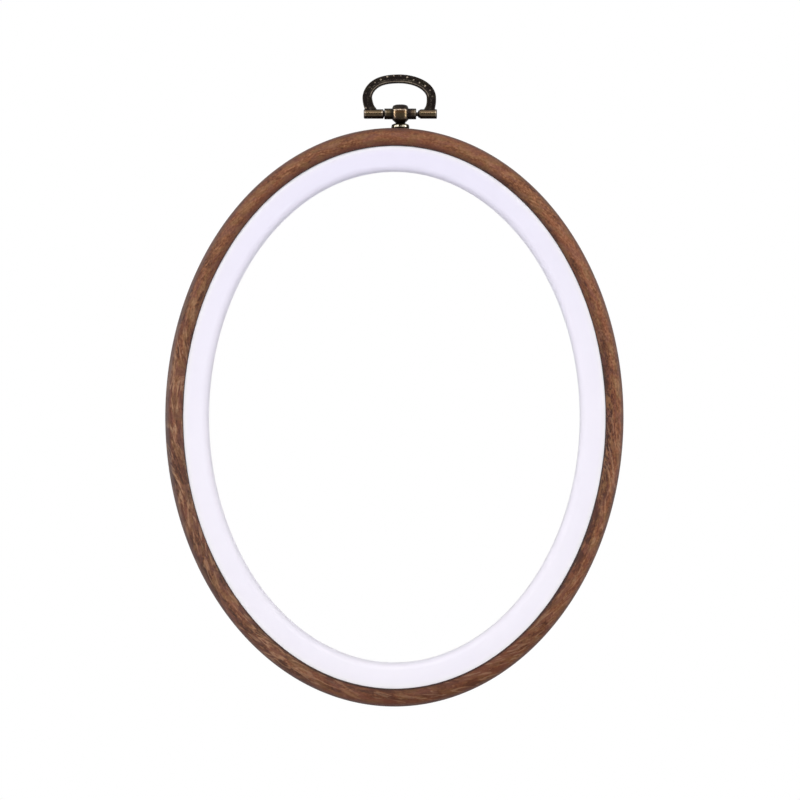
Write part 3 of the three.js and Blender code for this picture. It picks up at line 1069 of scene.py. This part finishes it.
bail_points = np.empty((bail_steps, section_points, 3))
bail_points[..., [0, 2]] = bail_places[:, None, :] + out[..., None] * bail_outward[:, None, :]
bail_points[..., 1] = thick
worn = np.clip(worn * facing, 0.0, 1.0)
print("relief from", round(float(relief.min()), 3), "to", round(float(relief.max()), 3), "mm")

# %% [markdown]
# Each foot runs into its knuckle. The knuckles are a hair thicker than the frame's and sit a hair above
# the pin's axis, as the photograph shows. The left one has square ends, and a small unpolished boss that
# nearly closes its gap to the post, a dark piece that stands for the shade in that gap, and the right one
# tapers towards the post. The hole for the pin is drilled right through both at once, and stops inside
# them.

# %% Bars round the pin's axis
dull_until = 2.5
polish_rise = 1.1
knuckle_end = bail_high[0]
knuckle_lift = 0.1
knuckle_round = knuckle_radius + knuckle_lift
left_inner = 5.45
right_inner = 5.68
boss_start = 5.75
boss_end = 5.15
boss_radius = 1.15
taper_long = 0.9
taper_deep = 0.5
running_gap = 0.15
pin_end_play = 0.3


def bar_outline(start, end, radius, start_round, end_round, stations=24):
    """The outline of a bar on its axis, with rounded end edges and stations that crowd towards both ends."""
    first, last = start + start_round + 0.02, end - end_round - 0.02
    places = first + (last - first) * (1 - np.cos(np.linspace(0, np.pi, stations))) / 2
    corners = [
        (0, start, 0),
        (radius, start, start_round),
        *((radius, place, 0) for place in places),
        (radius, end, end_round),
        (0, end, 0),
    ]
    return rounded(corners)


def bar_piece(name, outline, sides=round_sides, shine=1.0, lift=0.0):
    """A bar turned about the pin's axis or just above, with its wear and painted highlight, and its polish
    and painted shade.
    """
    points, faces = turned(outline, sides, (0, 0, pin_height + lift), "X")
    height = points[:, 2] - pin_height - lift
    radius = np.maximum(np.hypot(points[:, 1], height), 1e-6)
    in_front = ramp(np.abs(points[:, 1]) / radius, 0.55, 0.3)
    less_below = np.clip(height / radius / 0.6 + 1.25, 0.35, 1)
    not_near_knob = ramp(np.abs(points[:, 0]), dull_until, polish_rise)
    to_rim = np.minimum(points[:, 0] - outline[:, 1].min(), outline[:, 1].max() - points[:, 0])
    # polish on the front and back, less underneath as painted shade, and less near the knob
    polish = shine * in_front * less_below * not_near_knob
    # rubbed pale a little in from each end: partly wear, partly a painted highlight
    rim_wear_and_highlight = 0.85 * ridge(to_rim, 0.4, 0.2) * polish * (radius > 0.7 * radius.max())
    # no polish at the very ends: painted shade in the gaps between the parts
    return make_piece(name, points, faces, worn=rim_wear_and_highlight, polish=polish * ramp(to_rim, 0.06, 0.2))


print("knuckles are", round(2 * knuckle_round, 2), "mm thick")


# %% Bail with its knuckles
def bail_band_piece():
    """The band as a closed solid: the carried section with a fan of triangles over each end."""
    faces = [grid_faces(bail_steps, section_points, False), *end_fans(bail_steps, section_points)]
    points = np.concatenate([bail_points.reshape(-1, 3), bail_points[[0, -1]].mean(1)])
    painted = np.concatenate([worn.ravel(), [0.0, 0.0]])
    return make_piece("hanger_bail_bronze", points, faces, worn=painted, polish=0 * painted)


right_stations = np.linspace(right_inner + taper_long, knuckle_end - 0.1, 24)[1:-1]

# radius, place along the pin, and rounding
right_taper = rounded(
    [
        (0, right_inner, 0),
        (knuckle_round - taper_deep, right_inner, 0.2),
        (knuckle_round, right_inner + taper_long, 0.3),
        *((knuckle_round, place, 0) for place in right_stations),
        (knuckle_round, knuckle_end, 0.25),
        (0, knuckle_end, 0),
    ]
)
left_bar = bar_outline(-knuckle_end, -left_inner, knuckle_round, 0.4, 0.05)
left_shade_boss = bar_outline(-boss_start, -boss_end, boss_radius, 0, 0.03, stations=4)
hanger_bail = bail_band_piece()
knuckles = [
    bar_piece("left_knuckle", left_bar, lift=knuckle_lift),
    # a small dark boss that stands for the shade in the gap to the post
    bar_piece("left_shade_boss", left_shade_boss, shine=0.0, lift=knuckle_lift),
    bar_piece("right_knuckle", right_taper, lift=knuckle_lift),
]
combine(hanger_bail, knuckles, "UNION")
hole_end = pin_high[0] + pin_end_play
hole = bar_outline(-hole_end, hole_end, pin_radius + running_gap, 0, 0, stations=2)
combine(hanger_bail, [bar_piece("pin_drill", hole)], "DIFFERENCE")
print("bail with knuckles:", len(hanger_bail.data.vertices), "points")

# %% [markdown]
# ## Antique bronze
# Antique bronze is plated metal that was blackened and then rubbed, so that the hollows stay dark and
# the raised parts shine through in a pinkish cream. The finish mixes three states of one surface: dark,
# polished to a brown, and rubbed pale. The piece carries how far it was polished, which also holds
# painted shade, and how worn it is, which also holds painted highlights, and noise makes both uneven.
# All three are metal, because the plating shows through the dark even where it isn't rubbed, and they
# differ in colour and in polish. On the knob's middle the brown turns to copper.

# %% Antique bronze finish
def antique_bronze():
    """Blackened bronze, brown where polished and pale where beads and lines rub bright, with painted shade
    and highlights.
    """
    finish = Finish("antique_bronze", Metallic=1.0)
    cloud = finish.noise(finish.place(), 3.0, 0.6, 420.0)
    grit = finish.noise(finish.place(), 3.0, 0.65, 2600.0)
    # wear, which also holds painted highlights, made uneven by noise
    wear_and_glints = finish.unsettle(finish.unsettle(finish.painted("worn"), cloud, 0.5), grit, 0.9)
    # polish, which also holds painted shade, made uneven by noise
    polish = finish.unsettle(finish.painted("polish"), cloud, 0.6)
    rubbed_and_glinting = finish.between(wear_and_glints, 0.08, 0.95)
    polished = finish.between(polish, 0.2, 0.95)
    olive = finish.between(cloud, 0.42, 0.66)
    dark = finish.mix(olive, paint(46, 39, 37), paint(50, 45, 37))
    brown = finish.mix(olive, paint(118, 98, 77), paint(108, 95, 71))
    brown = finish.mix(finish.painted("copper"), brown, paint(132, 95, 62))
    colour = finish.mix(polished, dark, brown)
    colour = finish.mix(rubbed_and_glinting, colour, paint(184, 168, 150))
    finish.give(Base_Color=colour, Roughness=finish.between(polished, 0.0, 1.0, 0.46, 0.25))
    finish.bump(grit, 0.025 * MM)
    return finish


bronze = antique_bronze()
dress(hanger_bail, bronze, "bail", "antique_bronze", "hanger_bail")

# %% [markdown]
# ## The post
# The post is the other casting: a round knob with a flat top on a short neck, crossed by the barrel
# that the pin runs through. From the front the knob shows a bright frame round a copper-brown centre,
# with a bright line where its upright side bends in, which is also painted on as a highlight. So its
# outline is a barrel with full, bevelled shoulders and not a ball. Its front and back are polished, less
# lower down and not at all above the frame, as painted shade, and the corners beside the barrel are
# black. Knob and barrel are joined, then bored for the pin and, from below, for the screw.

# %% Shape of the knob
knob_dome = 0.06
knob_radius = half_size("post_collar") - 0.02
knob_top = post_high[2] - pin_height - knob_dome
knob_side = 2.76
side_end = 1.15
side_lean = 0.19
neck_radius = 1.3
neck_end = post_low[2] - pin_height
barrel_end = post_high[0]
barrel_radius = 1.75
barrel_lift = 0.12
screw_radius = 0.7
tap_play = 0.3
tap_end = screw_high[2] + tap_play

# radius, height above the pin's axis, and rounding
knob_corners = [
    (0, neck_end, 0),
    (neck_radius, neck_end, 0.1),
    (neck_radius, -3.06, 0.1),
    (1.4, -2.9, 0.25),
    (2.68, -1.72, 0.7),
    (knob_radius, 0.05, 8.0),
    (2.775, 0.5, 0),
    (2.77, 0.8, 0),
    (knob_side, side_end, 0.8),
    *((knob_side - side_lean * rise, side_end + rise, 0) for rise in (0.15, 0.3, 0.45, 0.6)),
    (2.58, 2.1, 0.7),
    (2.32, 2.76, 0.5),
    (1.6, knob_top, 0.25),
    (0, knob_top + knob_dome, 0),
]
knob_points, knob_faces = turned(rounded(knob_corners, 9), round_sides, (0, 0, pin_height))
knob_height = knob_points[:, 2] - pin_height
knob_reach = np.maximum(np.hypot(knob_points[:, 0], knob_points[:, 1]), 1e-6)
knob_front = np.abs(knob_points[:, 1]) / knob_reach
knob_rows = window(knob_height, -1.1, 1.5, 0.15) + 0.45 * window(knob_height, -4.0, -1.1, 0.2)
knob_carried = {
    # a painted highlight: the top of the bright frame on the knob's front and back
    "worn": 0.75 * ridge(knob_height, 1.26, 0.24) * ramp(knob_front, 0.5, 0.3),
    # polish on the front and back; less lower down and none above the frame, as painted shade, and none at
    # the sides
    "polish": knob_rows * ramp(knob_front, 0.45, 0.3),
    "copper": window(knob_height, 0.35, 1.6, 0.25) * ramp(knob_front, 0.75, 0.15),
}
print("the knob is", round(2 * knob_radius, 2), "mm wide")

# %% Post, joined and bored
hanger_post = make_piece("hanger_post_bronze", knob_points, knob_faces, **knob_carried)
barrel = bar_outline(-barrel_end, barrel_end, barrel_radius, 0.05, 0.25, stations=40)
combine(hanger_post, [bar_piece("barrel", barrel, shine=0.6, lift=barrel_lift)], "UNION")
bore_end = barrel_end + past_end
bore = bar_outline(-bore_end, bore_end, pin_radius + running_gap, 0, 0, stations=2)
tap = drill("tap_drill", screw_radius + running_gap, post_low[2] - past_end, tap_end)
combine(hanger_post, [bar_piece("pin_reamer", bore), tap], "DIFFERENCE")
dress(hanger_post, bronze, "post", "antique_bronze", "hanger_post")

# %% [markdown]
# ## Pin, collar, screw and washer
# The pin shows only as a dark spot in the two gaps, and is drawn a little thicker than the frame's, as
# the photograph shows it. The collar is a small ring of bright brass that the knob clamps down, with a
# slightly sloped side and a domed top, a hair wider than the frame's. Two painted highlights lie on its
# side, and painted shade darkens the middle between them and the rim. The screw comes up through the
# ring's wall from behind, with a washer that keeps its head from pulling through the soft vinyl. Its
# thread is one helix: the radius rises and falls with the height over the pitch less the turn, and
# fades at both ends.

# %% Pin and collar
pin_thicker = 0.12
pin_edge = 0.12
pin_seen = pin_radius + pin_thicker
pin_outline = bar_outline(pin_low[0], pin_high[0], pin_seen, pin_edge, pin_edge)
hinge_pin = bar_piece("hinge_pin_wire", pin_outline, 48)

collar_wider = 0.12
collar_radius = half_size("post_collar") + collar_wider
collar_bore = 1.4
side_radius = 2.91
side_slope = 0.13
side_low = 0.42
side_tall = 0.6
collar_bottom = collar_low[2]
collar_top = collar_high[2]
up_side = np.linspace(0, 1, 6)

# radius, height and rounding
collar_corners = [
    (collar_bore, collar_bottom, 0.05),
    (collar_radius - 0.12, collar_bottom, 0.1),
    (collar_radius, collar_bottom + 0.34, 0.3),
    *((side_radius - side_slope * up, collar_bottom + side_low + side_tall * up, 0) for up in up_side),
    (2.7, collar_top - 0.46, 0.12),
    (1.75, collar_top - 0.08, 0.3),
    (collar_bore, collar_top, 0.08),
]
collar_points, collar_faces = turned(rounded(collar_corners, 8), round_sides, (0, 0, 0), closed=True)
collar_reach = np.hypot(collar_points[:, 0], collar_points[:, 1])
collar_front = np.abs(collar_points[:, 1]) / collar_reach
# painted highlights at two places on the collar's side, left and right of front and back; painted shade in
# the very middle, at the sides and on the rims
on_side = window(collar_points[:, 2], collar_bottom + 0.2, collar_top - 0.66, 0.04) * (collar_reach > 2)
two_highlights = 0.6 + 0.55 * window(collar_front, 0.77, 0.982, 0.008)
collar_worn = 0.8 * on_side * two_highlights - 0.25
post_collar = make_piece("post_collar_brass", collar_points, collar_faces, worn=collar_worn)
print("pin", round(2 * pin_seen, 2), "mm thick and collar", round(2 * collar_radius, 2), "mm wide")

# %% Washer
washer_bore = 1.0
washer_edge = 0.08
washer_corners = [
    (washer_bore, washer_low[2], washer_edge),
    (washer_radius, washer_low[2], washer_edge),
    (washer_radius, washer_high[2], washer_edge),
    (washer_bore, washer_high[2], washer_edge),
]
washer_shape = turned(rounded(washer_corners, 3), 64, (0, 0, 0), closed=True)
screw_washer = make_piece("screw_washer_steel", *washer_shape)
print("washer", round(2 * washer_radius, 2), "mm wide")

# %% Screw with a helical thread
head_radius = half_size("post_screw")
head_thickness = 1.1
thread_pitch = 0.35
thread_depth = 0.14
thread_fade = 0.4
tip_taper = 0.3
thread_crease = 60.0
slot_width = 0.7
slot_depth = 0.5


def threaded_screw(sides=48, rings_per_pitch=8):
    """The shank's radius, less the thread's depth times a triangle wave of height over pitch less turn."""
    bottom, low, high = screw_low[2], screw_low[2] + head_thickness, screw_high[2]
    head_corners = [
        (0, bottom, 0),
        (head_radius, bottom, 0.3),
        (head_radius, low, 0.1),
        (screw_radius, low, 0),
    ]
    count = int((high - low) / thread_pitch * rings_per_pitch)
    heights = np.linspace(low, high, count + 1)[1:]
    shank_line = np.stack([np.full(count, screw_radius), heights], -1)
    outline = np.concatenate([rounded(head_corners), shank_line, [(0, high)]])
    points, faces = turned(outline, sides, (0, 0, 0))
    shank = points[:, 2] > low + 1e-6
    turn_share = np.arctan2(points[:, 1], points[:, 0]) / (2 * np.pi)
    phase = (points[:, 2] - low) / thread_pitch - turn_share
    groove = 1 - np.abs((phase % 1) * 2 - 1)
    from_head = ramp(points[:, 2], low, thread_fade)
    near_tip = 1 - ramp(high - points[:, 2], 0, thread_fade)
    radius = screw_radius - thread_depth * groove * from_head - tip_taper * near_tip**2
    old = np.hypot(points[:, 0], points[:, 1])
    change = np.where(shank & (old > 1e-6), radius / np.maximum(old, 1e-6), 1.0)
    points[:, :2] *= change[:, None]
    return points, faces


post_screw = make_piece("post_screw_steel", *threaded_screw(), sharp_angle=thread_crease)
half_slot = np.array([head_radius + past_end, slot_width / 2, slot_depth])
slot_signs = np.array([(x, y, z) for x in (-1, 1) for y in (-1, 1) for z in (-1, 1)])
slot_faces = np.array([(0, 1, 3, 2), (4, 6, 7, 5), (0, 4, 5, 1), (2, 3, 7, 6), (0, 2, 6, 4), (1, 5, 7, 3)])
slot_points = slot_signs * half_slot + np.array([0, 0, screw_low[2]])
combine(post_screw, [make_piece("slot_cutter", slot_points, [slot_faces])], "DIFFERENCE", thread_crease)
print("screw with", round((screw_high[2] - screw_low[2] - head_thickness) / thread_pitch), "turns of thread")

# %% [markdown]
# The small parts are plain metals. The brass is bright where the collar carries painted highlights and
# nearly black in its painted shade, and noise makes its tarnish uneven. Steel wire and zinc plating
# differ in colour and in how evenly they shine.

# %% Small metal finishes
def plain_metal(name, bright, dull, scale, rough_low, rough_high, worn=""):
    """A metal that drifts between a bright and a dull state, and follows painted highlights and shade if
    given.
    """
    finish = Finish(name, Metallic=1.0)
    drift = finish.noise(finish.place(), 3.0, 0.6, scale)
    grit = finish.noise(finish.place(), 2.0, 0.6, scale * 8)
    if worn:
        drift = finish.unsettle(drift, finish.painted(worn), -1.0)
    share = finish.between(drift, 0.4, 0.68)
    colour = finish.mix(share, bright, dull)
    finish.give(Base_Color=colour, Roughness=finish.between(share, 0, 1, rough_low, rough_high))
    finish.bump(grit, 0.01 * MM)
    return finish


brass = plain_metal("bright_brass", paint(232, 221, 196), paint(40, 34, 22), 900.0, 0.26, 0.5, worn="worn")
wire = plain_metal("dark_steel", paint(70, 62, 54), paint(48, 42, 38), 600.0, 0.35, 0.5)
zinc = plain_metal("zinc_steel", paint(204, 204, 200), paint(176, 178, 178), 700.0, 0.22, 0.34)
dress(hinge_pin, wire, "post", "dark_steel", "hinge_pin")
dress(post_collar, brass, "post", "bright_brass", "post_collar")
dress(post_screw, zinc, "post", "bright_steel", "post_screw")
dress(screw_washer, zinc, "post", "bright_steel", "screw_washer")

# %% [markdown]
# ## Floor
# The hoop hangs, so the floor lies a little below it, out of the photograph's view. Under the hoop it
# is only about half white of itself, and keeps the hoop's soft shadow when that is seen from above.
# Further out the camera and the reflections see it as pure white, so that it melts into the room
# without a horizon. Towards the camera it is as dim in reflections as the room is there.

# %% Floor
floor_height = -0.30
floor_half = 12.0
shadow_until = 0.26
white_floor_from = 0.42
white_near = 0.55
dim_floor_from = 0.8

corner_signs = np.array([(-1, -1), (1, -1), (1, 1), (-1, 1)])
floor_corners = np.column_stack([corner_signs * floor_half, np.full(4, floor_height)])
floor_mesh = bpy.data.meshes.new("floor")
floor_mesh.from_pydata(floor_corners.tolist(), [], [(0, 1, 2, 3)])
floor = bpy.data.objects.new("floor", floor_mesh)
bpy.context.scene.collection.objects.link(floor)


def pale_floor():
    """A pale matt floor, mixed with white light of its own where camera and gloss see it far away."""
    finish = Finish("pale_floor", Roughness=0.9, Specular_IOR_Level=0.0)
    grain = finish.noise(finish.place(), 2.0, 0.5, 300.0)
    finish.give(Base_Color=finish.mix(grain, paint(236, 236, 236), paint(239, 239, 239)))
    spot = finish.stretch(finish.place(), (1, 1, 0))
    away = finish.add("VectorMath", {0: spot}, operation="LENGTH").outputs["Value"]
    far = finish.between(away, shadow_until, white_floor_from, white_near, 1.0)
    camera_sees = finish.seen_by_camera()
    seen = finish.maths("MAXIMUM", camera_sees, finish.seen_in_gloss())
    backward = finish.add("SeparateXYZ", {0: finish.place()}).outputs[1]
    bright = finish.between(backward, -dim_floor_from, -shadow_until, dim_side, 1.0)
    bright = finish.maths("MAXIMUM", bright, camera_sees)
    glow = finish.add("Emission", {"Color": (1, 1, 1, 1), "Strength": bright})
    parts = {0: finish.times(seen, far), 1: finish.shader.outputs[0], 2: glow.outputs[0]}
    output = finish.tree.nodes["Material Output"]
    finish.feed(output.inputs["Surface"], finish.add("MixShader", parts).outputs[0])
    return finish


floor_mesh.materials.append(pale_floor().material)
print("floor", round(floor_height - ring_low[2] * MM, 3), "m from the hoop's lowest point")

# %% [markdown]
# ## Picture settings
# The Standard view transform shows colours as they are written.

# %% Finish
bpy.context.scene.view_settings.view_transform = "Standard"
